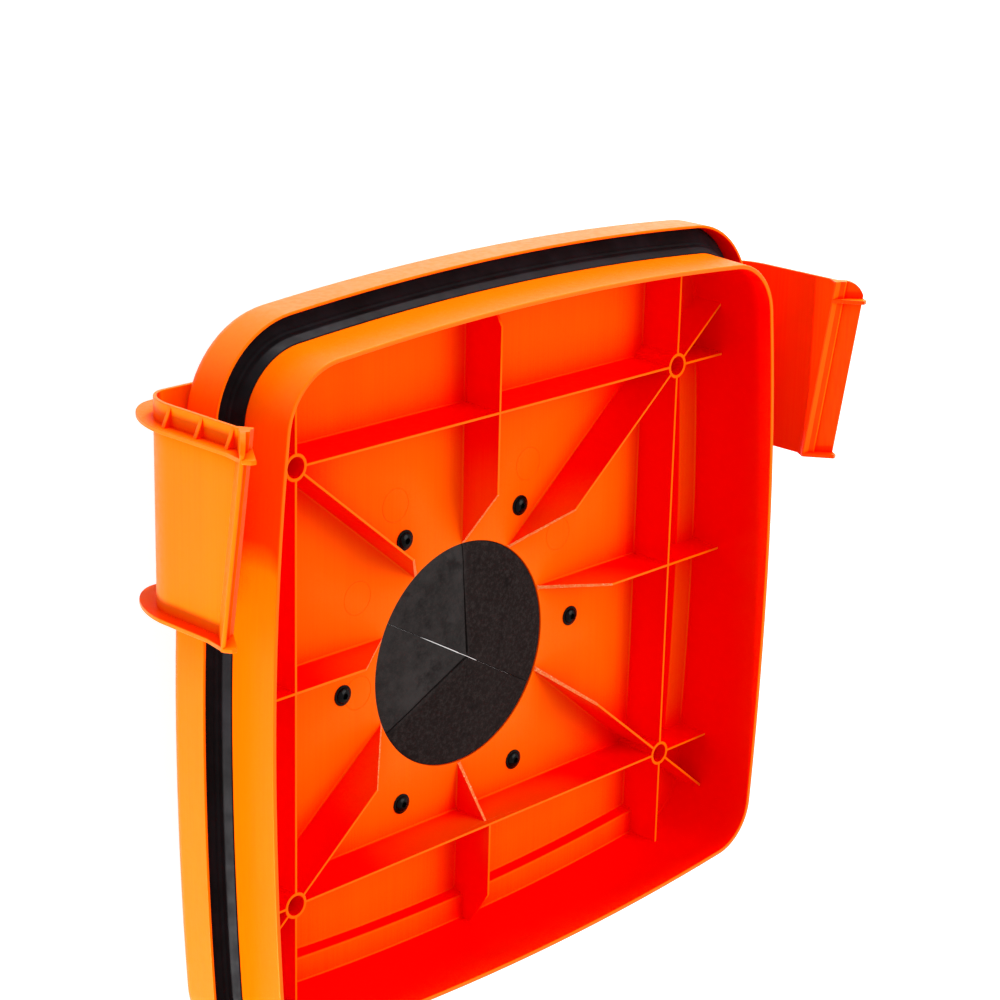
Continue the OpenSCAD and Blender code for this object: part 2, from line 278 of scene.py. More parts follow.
def rings_to_solid(rings, closed_rings=False):
    """Joins equal rings of points by quads, and caps the first and last ring."""
    size = len(rings[0])
    verts = [v for ring in rings for v in ring]
    pairs = len(rings) if closed_rings else len(rings) - 1
    faces = []
    for i in range(pairs):
        j = (i + 1) % len(rings)
        for k in range(size):
            m = (k + 1) % size
            faces.append((i * size + k, i * size + m, j * size + m, j * size + k))
    if not closed_rings:
        faces.append(tuple(range(size))[::-1])
        faces.append(tuple(range((len(rings) - 1) * size, len(rings) * size)))
    return solid(verts, faces)


def prism(points, low, high, place, edge=0, steps=1):
    """Extrudes a closed outline from low to high; place turns (u, v, w) into (x, y, z).

    Both ends are rounded by the radius edge, in the given number of steps.
    """
    points = vectors(points)
    layers = []
    for k in range(steps + 1):
        a = math.pi / 2 * (1 - k / steps)
        layers.append((low + edge * (1 - math.sin(a)), edge * (1 - math.cos(a))))
    layers += [(low + high - w, d) for w, d in reversed(layers)]
    rings = [[place(p.x, p.y, w) for p in (inset(points, d) if d else points)]
             for w, d in layers]
    return rings_to_solid(rings)


def lathe(profile, centre, segments):
    """Turns a closed outline of (radius, height) points about a vertical axis."""
    profile = vectors(profile)
    rings = []
    for i in range(segments):
        a = 2 * math.pi * i / segments
        way = (math.cos(a), math.sin(a))
        rings.append([(centre[0] + p.x * way[0], centre[1] + p.x * way[1], p.y)
                      for p in profile])
    return rings_to_solid(rings, closed_rings=True)


def swept(section):
    """Sweeps a closed section of (offset, height) points around the lid's outline."""
    rings = [[(*at_offset(station, p.x), p.y) for p in section] for station in STATIONS]
    return rings_to_solid(rings, closed_rings=True)


def filled(section):
    """Like swept, for an open section: its two ends are closed by flat plates."""
    rings = [[(*at_offset(station, p.x), p.y) for station in STATIONS]
             for p in vectors(section)]
    return rings_to_solid(rings)


def settle(obj):
    """Applies an object's modifiers to its mesh."""
    graph = bpy.context.evaluated_depsgraph_get()
    mesh = bpy.data.meshes.new_from_object(obj.evaluated_get(graph))
    obj.modifiers.clear()
    old = obj.data
    obj.data = mesh
    bpy.data.meshes.remove(old)


def combine(obj, others, operation):
    """Joins, cuts or intersects obj with other closed solids, which are used up."""
    for other in others:
        step = obj.modifiers.new("step", "BOOLEAN")
        step.operation = operation
        step.solver = "MANIFOLD"
        step.object = other
        settle(obj)
        bpy.data.objects.remove(other)
    return obj


def joined(objects):
    """Puts several separate solids into one object."""
    work = bmesh.new()
    for obj in objects:
        work.from_mesh(obj.data)
    first = objects[0]
    work.to_mesh(first.data)
    work.free()
    for obj in objects[1:]:
        bpy.data.objects.remove(obj)
    return first


def mirrored(obj):
    """A copy of an object on the other side of the lid."""
    twin = obj.copy()
    twin.data = obj.data.copy()
    twin.data.transform(Matrix.Scale(-1, 4, (1, 0, 0)))
    twin.data.flip_normals()
    bpy.context.scene.collection.objects.link(twin)
    return twin


def finished(obj, name, body, materials, nodes, sharp):
    """Names a piece, turns it into metres and puts it on its body in place of CAD nodes.

    Edges sharper than the angle sharp, in degrees, stay crisp.
    """
    obj.name = name
    obj.data.name = name
    obj.data.transform(Matrix.Scale(MM, 4))
    obj.data.shade_smooth()
    obj.data.set_sharp_from_angle(angle=math.radians(sharp))
    normals = obj.modifiers.new("even_normals", "WEIGHTED_NORMAL")
    normals.keep_sharp = True
    normals.weight = 90
    slots = obj.data.materials
    while len(slots) < len(materials):
        slots.append(None)
    for index, material in enumerate(materials):
        slots[index] = material
    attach(obj, body)
    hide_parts(*nodes)


# ======== materials
class Nodes:
    """A material's node tree, with short calls for the nodes used here."""

    def __init__(self, name):
        self.material = bpy.data.materials.new(name)
        self.material.use_nodes = True
        self.tree = self.material.node_tree
        self.shader = self.tree.nodes["Principled BSDF"]
        places = self.add("ShaderNodeTexCoord")
        self.coords = places.outputs["Object"]
        self.normal = places.outputs["Normal"]

    def add(self, kind, **values):
        node = self.tree.nodes.new(kind)
        for key, value in values.items():
            setattr(node, key, value)
        return node

    def link(self, source, target):
        self.tree.links.new(source, target)

    def set(self, **values):
        """Sets the shader's own sockets; an underscore stands for a space."""
        for key, value in values.items():
            self.shader.inputs[key.replace("_", " ")].default_value = value

    def scaled(self, x=1.0, y=1.0, z=1.0, turn=0.0):
        node = self.add("ShaderNodeMapping")
        node.inputs["Scale"].default_value = (x, y, z)
        node.inputs["Rotation"].default_value = (0, 0, turn)
        self.link(self.coords, node.inputs["Vector"])
        return node.outputs["Vector"]

    def noise(self, scale, detail=3.0, rough=0.5, vector=None):
        node = self.add("ShaderNodeTexNoise")
        node.inputs["Scale"].default_value = scale
        node.inputs["Detail"].default_value = detail
        node.inputs["Roughness"].default_value = rough
        self.link(vector or self.coords, node.inputs["Vector"])
        return node.outputs["Fac"]

    def remap(self, value, low, high, to_low=0.0, to_high=1.0):
        node = self.add("ShaderNodeMapRange", interpolation_type="SMOOTHSTEP")
        node.inputs["From Min"].default_value = low
        node.inputs["From Max"].default_value = high
        node.inputs["To Min"].default_value = to_low
        node.inputs["To Max"].default_value = to_high
        self.link(value, node.inputs["Value"])
        return node.outputs["Result"]

    def maths(self, operation, first, second):
        node = self.add("ShaderNodeMath", operation=operation)
        for socket, value in zip(node.inputs, (first, second)):
            if isinstance(value, (int, float)):
                socket.default_value = value
            else:
                self.link(value, socket)
        return node.outputs[0]

    def mix(self, factor, first, second):
        """Mixes two colours, each a tuple or a socket, by a factor socket."""
        node = self.add("ShaderNodeMix", data_type="RGBA")
        self.link(factor, node.inputs["Factor"])
        for key, value in (("A", first), ("B", second)):
            socket = [s for s in node.inputs if s.name == key and s.type == "RGBA"][0]
            if isinstance(value, tuple):
                socket.default_value = (*value, 1)
            else:
                self.link(value, socket)
        return [s for s in node.outputs if s.type == "RGBA"][0]

    def openness(self, reach, own):
        """How much sky a point sees within a reach, past its own piece or past all."""
        node = self.add("ShaderNodeAmbientOcclusion", samples=8, only_local=own)
        node.inputs["Distance"].default_value = reach
        return node.outputs["AO"]

    def part_of(self, vector, axis):
        """A vector's X, Y or Z."""
        node = self.add("ShaderNodeSeparateXYZ")
        self.link(vector, node.inputs["Vector"])
        return node.outputs[axis]

    def bump(self, *layers):
        """Stacks bumps; each layer is (height socket, distance in metres, strength)."""
        normal = None
        for height, distance, strength in layers:
            node = self.add("ShaderNodeBump")
            node.inputs["Distance"].default_value = distance
            node.inputs["Strength"].default_value = strength
            self.link(height, node.inputs["Height"])
            if normal:
                self.link(normal, node.inputs["Normal"])
            normal = node.outputs["Normal"]
        self.link(normal, self.shader.inputs["Normal"])

    def colour(self, socket):
        self.link(socket, self.shader.inputs["Base Color"])

    def roughness(self, socket):
        self.link(socket, self.shader.inputs["Roughness"])


def painted_shade_of_lid(m):
    """Painted shade of the lid: how much a place sees, and how lit it is painted: 0 red, 1
    orange.

    Hollows get painted shade. Floors, the ribs' edges, the surroundings of the hole, and
    the outer walls of skirt and flange are each painted as lit by their own share; the
    largest counts.
    """
    near = m.openness(0.045, False)
    seen = m.maths("MULTIPLY", m.openness(0.25, True), near)
    x, y, z = (m.part_of(m.coords, axis) for axis in "XYZ")
    across, along, upwards = (m.part_of(m.normal, axis) for axis in "XYZ")
    # Painted light: places that face up are orange, floors by how open they are, the ribs'
    # edges fully.
    flat = m.remap(upwards, 0.5, 0.9)
    floors = m.maths("MULTIPLY", flat, m.remap(seen, 0.05, 0.45, 0, 0.72))
    edges = m.maths("MULTIPLY", flat, m.remap(z, 0.041, 0.043, 0, 0.95))
    # Painted light around the hole, fading with the distance from it.
    off = m.maths("SUBTRACT", y, HOLE_Y * MM)
    radius = m.maths("POWER", m.maths("ADD", m.maths("MULTIPLY", x, x),
                                      m.maths("MULTIPLY", off, off)), 0.5)
    hole = m.maths("MULTIPLY", m.remap(radius, 0.08, 0.145, 0.6, 0),
                   m.remap(seen, 0.05, 0.35))

    # How far out a wall lies, if it faces outwards; above about 0.048 it is the skirt's.
    outward = m.maths("ADD", m.maths("MULTIPLY", x, across), m.maths("MULTIPLY", y, along))
    # Painted light on the outer walls; the near openness paints the latch's shadow on the
    # skirt.
    skirt = m.maths("MULTIPLY", m.remap(outward, 0.155, 0.17), m.remap(z, 0.046, 0.05))
    skirt = m.maths("MULTIPLY", skirt, m.remap(near, 0.18, 0.36, 0, 0.88))
    flange = m.maths("MULTIPLY", m.remap(outward, 0.2, 0.206, 0, 0.85),
                     m.remap(z, 0.047, 0.05, 1, 0))
    walls = m.maths("MAXIMUM", skirt, flange)
    others = m.maths("MAXIMUM", m.remap(seen, 0.62, 0.95), hole)
    return seen, m.maths("MAXIMUM", m.maths("MAXIMUM", others, walls),
                         m.maths("MAXIMUM", floors, edges))


def painted_shade_of_latch(m):
    """Painted shade of a latch: red in its own hollows and on its side towards the lid."""
    seen = m.openness(0.12, True)
    outward = m.maths("MULTIPLY", m.part_of(m.coords, "X"), m.part_of(m.normal, "X"))
    return seen, m.maths("MULTIPLY", m.remap(seen, 0.35, 0.85, 0.25, 1),
                         m.remap(outward, -0.12, -0.03, 0.25, 1))


def painted_shade_of_ring(m):
    """Painted shade of the clamp ring: red in its recesses."""
    seen = m.openness(0.03, True)
    return seen, m.remap(seen, 0.3, 0.9)


def plastic(name, shade_painter):
    """Satin moulded plastic with flow marks, streaks and fine grain; hollows painted red as
    shade.
    """
    # Painted shade: red stands for the shaded plastic, orange for the lit plastic.
    red = (1.0, 0.0, 0.0)
    orange = (1.0, 0.155, 0.0)
    m = Nodes(name)
    seen, openness = shade_painter(m)
    flow = m.remap(m.noise(9, 4, 0.6, m.scaled(1, 0.35, 1, 0.5)), 0.3, 0.75, 0, 0.10)
    streaks = m.remap(m.noise(900, 2, 0.5, m.scaled(1, 0.01, 1)), 0.35, 0.7, 0, 0.05)
    shade = m.maths("SUBTRACT", m.maths("SUBTRACT", openness, flow), streaks)
    m.colour(m.mix(shade, red, orange))
    grain = m.noise(1400, 2)
    peel = m.noise(260, 2)
    marks = m.noise(70, 6, 0.7, m.scaled(1, 9, 1, 0.9))
    scratches = m.remap(marks, 0.60, 0.66)
    m.roughness(m.maths("ADD", m.remap(peel, 0.3, 0.7, 0.33, 0.43),
                        m.maths("MULTIPLY", scratches, 0.08)))
    m.bump((peel, 0.0001, 0.12), (grain, 0.00005, 0.3), (scratches, 0.00004, 0.15))
    # Reflection is also turned down in hollows, as painted shade.
    m.link(m.remap(seen, 0.8, 1, 0.02, 0.34), m.shader.inputs["Specular IOR Level"])
    m.set(IOR=1.48, Specular_Tint=(1.0, 0.36, 0.06, 1))
    return m.material


def cut_plastic(name, lit, pale):
    """Sawn edge of a rib: torn, rough and paler, with white specks."""
    white = (0.95, 0.6, 0.4)
    m = Nodes(name)
    torn = m.noise(900, 5, 0.75)
    edge = m.mix(m.remap(torn, 0.42, 0.62), lit, pale)
    m.colour(m.mix(m.remap(m.noise(1100, 3, 0.6), 0.62, 0.68), edge, white))
    m.bump((torn, 0.0005, 0.9))
    m.set(Roughness=0.7)
    return m.material


def rubber(name):
    """Satin black rubber with a faint bloom."""
    black = (0.004, 0.0035, 0.004)
    dusty = (0.009, 0.008, 0.010)
    m = Nodes(name)
    bloom = m.noise(45, 5, 0.6)
    m.colour(m.mix(m.remap(bloom, 0.35, 0.7), black, dusty))
    fine = m.noise(1100, 3)
    m.roughness(m.remap(m.noise(120, 4), 0.3, 0.7, 0.45, 0.58))
    m.bump((fine, 0.00006, 0.4), (bloom, 0.0003, 0.15))
    m.set(Specular_IOR_Level=0.06)
    return m.material


def foam(name):
    """Matt black closed-cell foam sheet: mottled, with tiny open cells on its cut skin.

    The flaps on the left are painted paler, as lit; the others are darker and brown-tinted.
    """
    dark = (0.016, 0.015, 0.0145)
    pale = (0.040, 0.037, 0.036)
    brown = (0.011, 0.0062, 0.0056)
    fleck = (0.042, 0.034, 0.032)
    black = (0.006, 0.005, 0.005)
    m = Nodes(name)
    mottle = m.noise(38, 6, 0.7)
    tone = m.mix(m.remap(mottle, 0.3, 0.7), dark, pale)
    # Painted light: the flaps on the left keep the paler tone, as lit; the others take the
    # darker brown.
    x = m.part_of(m.coords, "X")
    y = m.maths("SUBTRACT", m.part_of(m.coords, "Y"), HOLE_Y * MM)
    below = m.maths("SUBTRACT", m.maths("MULTIPLY", y, 0.87), m.maths("MULTIPLY", x, 0.5))
    left = m.maths("MINIMUM", m.maths("MULTIPLY", x, -1), below)
    tinted = m.mix(m.remap(left, -0.004, 0.003, 0.8, 0), tone, brown)
    flecked = m.mix(m.remap(m.noise(420, 5, 0.85), 0.44, 0.66, 0, 0.6), tinted, fleck)
    m.colour(m.mix(m.remap(m.noise(60, 4, 0.7), 0.52, 0.72, 0, 0.6), flecked, black))
    cells = m.add("ShaderNodeTexVoronoi", feature="F1")
    cells.inputs["Scale"].default_value = 1300
    m.link(m.coords, cells.inputs["Vector"])
    blotch = m.remap(m.noise(110, 5, 0.75), 0.35, 0.65)
    m.bump((cells.outputs["Distance"], 0.0003, 0.5), (mottle, 0.0016, 0.5),
           (blotch, 0.0004, 0.3))
    m.roughness(m.remap(mottle, 0.3, 0.7, 0.82, 0.95))
    m.set(Specular_IOR_Level=0.03)
    return m.material


def metal(name, dark, light, rough, metallic, specular):
    """Plated or blackened steel with slight patches and machining grain."""
    m = Nodes(name)
    patch = m.noise(500, 4, 0.6)
    m.colour(m.mix(m.remap(patch, 0.35, 0.65), dark, light))
    m.roughness(m.remap(patch, 0.3, 0.7, rough - 0.06, rough + 0.08))
    m.bump((m.noise(3000, 2), 0.00003, 0.4))
    m.set(Metallic=metallic, Specular_IOR_Level=specular)
    return m.material


lid_plastic = plastic("lid_plastic", painted_shade_of_lid)
latch_plastic = plastic("latch_plastic", painted_shade_of_latch)
ring_plastic = plastic("ring_plastic", painted_shade_of_ring)
sawn = cut_plastic("sawn_plastic", (1.0, 0.12, 0.0), (1.0, 0.30, 0.07))
seal_rubber = rubber("seal_rubber")
foam_sheet = foam("foam_sheet")
black_steel = metal("black_steel", (0.001, 0.001, 0.001), (0.003, 0.003, 0.003),
                    rough=0.16, metallic=0, specular=0.07)
zinc_steel = metal("zinc_steel", (0.60, 0.61, 0.62), (0.75, 0.76, 0.77),
                   rough=0.28, metallic=1, specular=0.5)


# ======== the moulded lid
SAWN_INDEX = 1  # the sawn material's place among the lid's materials
AXIS = 0.01     # radius of a lathed profile's points that stand for its axis


def along_y(u, v, w):
    """Places a section of (x, z) points along the lid."""
    return (u, w, v)


def upright(u, v, w):
    """Places a plan of (x, y) points."""
    return (u, v, w)


def beside(side):
    """Like along_y, on the right of the lid (1) or mirrored to its left (-1)."""

    def place(u, v, w):
        return (side * u, w, v)

    return place


def along_line(section, start, end):
    """Extrudes a section of (sideways, height) points along a line on the plan."""
    start = Vector(start)
    way = Vector(end) - start
    length = way.length
    way.normalize()
    side = Vector((-way.y, way.x))

    def place(u, v, w):
        p = start + way * w + side * u
        return (p.x, p.y, v)

    return prism(section, 0, length, place)


def circle(x, y, radius, segments):
    angles = [2 * math.pi * i / segments for i in range(segments)]
    return [(x + radius * math.cos(a), y + radius * math.sin(a)) for a in angles]


def lid_body():
    """Plateau, riser, strip, flange and skirt as one shell."""
    draft = 0.1
    section = [
        (-30, PLATEAU_Z, 0), (-FLANGE_OUT, PLATEAU_Z, 1.5), (-15.2, STRIP_Z, 1.2),
        (FLANGE_OUT, STRIP_Z, 7.5), (FLANGE_OUT, FLANGE_Z - 0.3, 0.45),
        (FLANGE_OUT - 1.6, FLANGE_Z, 0.45), (FLANGE_OUT - 1.9, STRIP_IN_Z, 5.6),
        (SKIRT_FOOT, STRIP_IN_Z, 1.0), (0, RIM_Z, 0.7), (-SKIRT_T, RIM_Z, 0.7),
        (-SKIRT_T - draft, STRIP_IN_Z, 1.5), (-17.4, STRIP_IN_Z, 1.8),
        (-19.2, PLATEAU_IN_Z, 1.5), (-30, PLATEAU_IN_Z, 0)]
    return filled(rounded(section, 5, closed=False))


def rib_bar(start, end):
    """A straight rib between two points, with a soft free edge and a slight draft."""
    half = RIB_T / 2
    thicker = 0.15
    thinner = 0.22
    soft = 0.4
    section = rounded([(-half - thicker, ROOT_Z, 0), (half + thicker, ROOT_Z, 0),
                       (half - thinner, RIB_Z, soft), (-half + thinner, RIB_Z, soft)], 3)
    return along_line(section, start, end)


def rib_lines():
    """Both ends of every rib, before trimming: three long, three across, two diagonal."""
    far = 260
    lines = [((x, -far), (x, far)) for x in (-BOSS_X, 0, BOSS_X)]
    lines += [((-far, y), (far, y)) for y in (GRID_Y - BOSS_Y, CROSS_Y, GRID_Y + BOSS_Y)]
    way = Vector((BOSS_X, BOSS_Y)).normalized() * (far + 20)
    for side in (-1, 1):
        tip = Vector((way.x, side * way.y))
        middle = Vector((0, GRID_Y))
        lines.append((middle - tip, middle + tip))
    return lines


def boss_places():
    return [Vector((sx * BOSS_X, GRID_Y + sy * BOSS_Y)) for sx in (-1, 1) for sy in (-1, 1)]


def boss_post(centre):
    profile = rounded([(AXIS, ROOT_Z, 0), (BOSS_R, ROOT_Z, 0),
                       (BOSS_R, RIB_Z, 0.5), (AXIS, RIB_Z, 0)], 3)
    return lathe(profile, centre, 64)


def mouth(radius, z, r, steps):
    """Profile of a cutter where it rounds the upper edge of a hole by r."""
    return [(radius + r * (1 - math.cos(a)), z - r + r * math.sin(a))
            for a in quarter_angles(steps)]


def boss_bore(centre):
    """Cutter for a bore with a rounded mouth."""
    r = 0.5
    floor_z = PLATEAU_IN_Z + 0.02
    above_z = RIB_Z + 5
    profile = rounded([(AXIS, floor_z, 0), (BORE_R, floor_z, r), (BORE_R, RIB_Z - r, 0)], 3)
    profile += mouth(BORE_R, RIB_Z, r, 3) + [(BORE_R + r, above_z), (AXIS, above_z)]
    return lathe(profile, centre, 64)


def rib_room():
    """The space that the ribs fill, which reaches a little into riser and skirt."""
    in_riser = -18.2
    in_skirt = -1.3
    low = filled([(in_riser, PLATEAU_IN_Z - 1), (in_riser, STRIP_IN_Z - 1)])
    high = filled([(in_skirt, STRIP_IN_Z - 1.2), (in_skirt, RIB_Z + 1)])
    return combine(low, [high], "UNION")


def saw_level(z):
    """How far up the sawn cone a height is, from 0 at the plateau to 1 at its top."""
    return (z - PLATEAU_IN_Z) / (SAW_TOP_Z - PLATEAU_IN_Z)


def saw_radius(t):
    return HOLE_R + 0.2 + (TRIM_R - HOLE_R) * t


def sawn_cone():
    """Cutter that trims the ribs around the hole, with the saw's marks in two sizes."""
    levels = 44
    segments = 480
    rings = []
    for level in range(levels + 1):
        t = level / levels
        z = PLATEAU_IN_Z + (SAW_TOP_Z - PLATEAU_IN_Z) * t
        base = saw_radius(t)
        ring = []
        for i in range(segments):
            a = 2 * math.pi * i / segments
            spot = Vector((math.cos(a) * base, math.sin(a) * base, z * 2.2))
            rough = 0.32 * noise.noise(spot * 0.9) + 0.22 * noise.noise(spot * 2.3)
            r = base + (rough if 0 < level else 0)
            ring.append((r * math.cos(a), HOLE_Y + r * math.sin(a), z))
        rings.append(ring)
    last = [(x, y, RIB_Z + 6) for x, y, z in rings[-1]]
    cone = rings_to_solid(rings + [last])
    for face in cone.data.polygons:
        face.material_index = SAWN_INDEX
    far = 130
    top = 80
    room = [(-far, SAW_Y), (far, SAW_Y), (far, far), (-far, far)]
    return combine(cone, [prism(room, 0, top, upright)], "INTERSECT")


def end_slope(turn):
    """Cutter for the slope at an end of the middle rib: turn is 1 or -1."""
    run = 45
    half = 6
    drop = run * math.tan(SLOPE_A)
    points = [(SLOPE_Y, RIB_Z), (SLOPE_Y + run, RIB_Z - drop),
              (SLOPE_Y + run, RIB_Z + 10), (SLOPE_Y, RIB_Z + 10)]

    def place(u, v, w):
        return (w, turn * u, v)

    return prism(points, -half, half, place)


def rib_foot(start, end):
    """A small fillet strip along a rib's base, on both of its sides."""
    z = PLATEAU_IN_Z
    half = RIB_T / 2
    flare = 1.3
    sunk = 0.6
    angles = quarter_angles(3)
    section = [(-half - flare, z - sunk), (half + flare, z - sunk)]
    for sign, turns in ((1, angles), (-1, angles[::-1])):
        section += [(sign * (half + flare * (1 - math.sin(a))),
                     z + flare * (1 - math.cos(a))) for a in turns]
    return along_line(section, start, end)


def rib_grid():
    lines = rib_lines()
    grid = rib_bar(*lines[0])
    combine(grid, [rib_bar(*line) for line in lines[1:]], "UNION")
    combine(grid, [rib_foot(*line) for line in lines], "UNION")
    combine(grid, [boss_post(centre) for centre in boss_places()], "UNION")
    combine(grid, [rib_room()], "INTERSECT")
    combine(grid, [end_slope(turn) for turn in (-1, 1)], "DIFFERENCE")
    return combine(grid, [sawn_cone()], "DIFFERENCE")


def hinge_lug(y, side):
    """A lug that hangs from the strip and is round about the pin."""
    root = STRIP_Z + 1.6
    steps = 16
    points = [(PIVOT_X + LUG_R, root), (PIVOT_X - LUG_R, root)]
    for k in range(steps + 1):
        a = math.pi + math.pi * k / steps
        points.append((PIVOT_X + LUG_R * math.cos(a), PIVOT_Z + LUG_R * math.sin(a)))
    return prism(points, y, y + LUG_W, beside(side), edge=0.6, steps=2)


def pin_bore(side):
    """Cutter for the pin's bore through the lugs, which hold it by a press fit."""
    points = circle(PIVOT_X, PIVOT_Z, PIN_R + 0.02, 32)
    return prism(points, LATCH_Y0, LATCH_Y1, beside(side))


def hole_cutter():
    """Cutter for the large hole, with a rounded inner edge."""
    r = 0.6
    below_z = PLATEAU_Z - 5
    above_z = PLATEAU_IN_Z + 4
    profile = [(AXIS, below_z), (HOLE_R, below_z)] + mouth(HOLE_R, PLATEAU_IN_Z, r, 4)
    profile += [(HOLE_R + r, above_z), (AXIS, above_z)]
    return lathe(profile, (0, HOLE_Y), 240)


PIN_MARKS = ((-52.5, 72.5), (51, 74.5), (77.7, 26.5), (-80, 26.3), (-79.2, -28.8))


def pin_mark(x, y):
    """Cutter for the shallow ring that an ejector pin leaves on the plateau."""
    r = 9.6
    half = 0.35
    depth = 0.18
    z = PLATEAU_IN_Z
    profile = [(r - half, z + 0.5), (r - half, z - 0.05), (r, z - depth),
               (r + half, z - 0.05), (r + half, z + 0.5)]
    return lathe(profile, (x, y), 64)


def screw_places():
    angles = [2 * math.pi * i / SCREW_COUNT for i in range(SCREW_COUNT)]
    return [Vector((SCREW_CIRCLE * math.cos(a), HOLE_Y + SCREW_CIRCLE * math.sin(a)))
            for a in angles]


def screw_hole(centre, low, high):
    points = circle(centre.x, centre.y, SCREW_R + 0.25, 32)
    return prism(points, low, high, upright)


def mark_sawn(obj):
    """Gives the sawn material to the faces on the cone that look at the hole.

    The cutter hands its material to some of them only.
    """
    near_cone = 0.9
    facing = 0.35
    for face in obj.data.polygons:
        x, y, z = face.center
        t = saw_level(z)
        away = Vector((x, y - HOLE_Y))
        inward = -face.normal.xy.dot(away.normalized())
        on_cone = 0.04 < t < 1 and abs(away.length - saw_radius(t)) < near_cone
        if on_cone and y > SAW_Y + 0.3 and inward > facing:
            face.material_index = SAWN_INDEX


def make_lid():
    lid = lid_body()
    combine(lid, [rib_grid()], "UNION")
    combine(lid, [hinge_lug(y, side) for y in LUG_Y for side in (-1, 1)], "UNION")
    cutters = [hole_cutter()]
    cutters += [boss_bore(centre) for centre in boss_places()]
    cutters += [screw_hole(p, PLATEAU_Z - 5, PLATEAU_IN_Z + 5) for p in screw_places()]
    cutters += [pin_bore(side) for side in (-1, 1)]
    cutters += [pin_mark(*place) for place in PIN_MARKS]
    combine(lid, cutters, "DIFFERENCE")
    mark_sawn(lid)
    nodes = ("lid_pan", "lid_skirt", "long_ribs", "cross_ribs", "diagonal_ribs",
             "corner_bosses", "hinge_lugs")
    finished(lid, "lid_moulding", "lid", (lid_plastic, sawn), nodes, 40)


# ======== seal and foam
def make_seal():
    """Rubber seal: flat flange side, ridge, and a lip that leans on the skirt."""
    section = [
        (9.2, STRIP_IN_Z + 0.05, 0), (11.9, STRIP_IN_Z + 1.3, 2), (14.7, 29.4, 3),
        (14.8, 36.6, 0.9), (13.0, 38.9, 1.5), (7.4, 44.2, 0.7), (6.6, 45.3, 0.5),
        (5.6, 46.1, 0.6), (2.3, 52.2, 0.35), (1.62, 52.4, 0.2), (2.6, 30.0, 0),
        (3.0, STRIP_IN_Z + 0.05, 0)]
    seal = swept(rounded(section, 4))
    finished(seal, "seal", "lid", (seal_rubber,), ("rim_seal",), 50)


PETALS = 6
PETAL_DEG = 60
FIRST_DEG = 30
PETAL_R = HOLE_R - 0.3
TIP_R = 0.6
RIM_LIFT = 2.1
# Half widths of each slit at the middle and the rim, and the share of its length from the
# rim that is closed at the foam's back.
SLITS = ((0.02, 0.02, 1), (0.9, 0.2, 1), (0.3, 0.16, 0.5),
         (0.55, 0.45, 1), (0.05, 0.05, 1), (0.24, 0.16, 0.75))
# How much each flap's tip is lifted, and which pattern of waves it has.
LIFTS = (0.1, 0.35, -0.25, 0.4, 0.3, 0.1)
WAVES = (0, 1, 2, 3, 3, 0)


def slit_gap(index, fade):
    """Half widths of the slit before a flap, at its face and at its back."""
    middle, rim, closed = SLITS[index % PETALS]
    face = rim + (middle - rim) * fade ** 1.6
    return face, face if fade > closed else 0.01


def sheet_solid(top, bottom):
    """A thin solid between two equal grids of points, each given as rows."""
    width = len(top[0])
    verts = [v for row in top + bottom for v in row]
    base = len(top) * width
    faces = []
    for i in range(len(top) - 1):
        for k in range(width - 1):
            a = i * width + k
            faces.append((a, a + 1, a + width + 1, a + width))
            faces.append((base + a, base + a + width, base + a + width + 1, base + a + 1))
        for k in (0, width - 1):
            a = i * width + k
            faces.append((a, a + width, base + a + width, base + a))
    for i in (0, len(top) - 1):
        for k in range(width - 1):
            a = i * width + k
            faces.append((a, a + 1, base + a + 1, base + a))
    return solid(verts, faces)


def petal(index):
    """One of the foam's flaps, which rises from the rim to its tip in the middle."""
    start = math.radians(FIRST_DEG + PETAL_DEG * index)
    turn = math.radians(PETAL_DEG)
    widest = 0.25
    soft_edges = index not in (0, 5)
    radial = 26
    around = 14
    top = []
    bottom = []
    for i in range(radial + 1):
        r = TIP_R + (PETAL_R - TIP_R) * i / radial
        fade = 1 - r / PETAL_R
        sectors = [(start + min(gap0 / r, widest), start + turn - min(gap1 / r, widest))
                   for gap0, gap1 in zip(slit_gap(index, fade), slit_gap(index + 1, fade))]
        rim_soft = 0.5 * max(0, 1 - (PETAL_R - r) / 2.6) ** 2
        rise = RIM_LIFT + (FOAM_RISE - RIM_LIFT + LIFTS[index]) * fade
        row_top = []
        row_bottom = []
        for k in range(around + 1):
            t = k / around
            spots = []
            for first, last in sectors:
                a = first + (last - first) * t
                spots.append((r * math.cos(a), HOLE_Y + r * math.sin(a)))
            (x, y), below = spots
            wave = noise.noise(Vector((x, y, WAVES[index])) * 0.05)
            wave = 0.35 * wave * (1 - fade) * min(1, 8 * fade)
            soft = 0.3 * (2 * abs(t - 0.5)) ** 8 if soft_edges else 0
            z = PLATEAU_Z + rise + wave - rim_soft
            row_top.append((x, y, z - soft))
            row_bottom.append((*below, z - FOAM_T))
        top.append(row_top)
        bottom.append(row_bottom)
    return sheet_solid(top, bottom)


def make_foam():
    """Foam sheet: the flat ring under the plateau, and six flaps that fill the hole."""
    rim = lathe([(PETAL_R, FOAM_Z), (FOAM_R, FOAM_Z),
                 (FOAM_R, PLATEAU_Z), (PETAL_R, PLATEAU_Z)], (0, HOLE_Y), 180)
    holes = [screw_hole(p, FOAM_Z - 3, PLATEAU_Z + 3) for p in screw_places()]
    combine(rim, holes, "DIFFERENCE")
    sheet = joined([rim] + [petal(index) for index in range(PETALS)])
    finished(sheet, "foam_flaps", "lid", (foam_sheet,), ("foam_diaphragm",), 40)


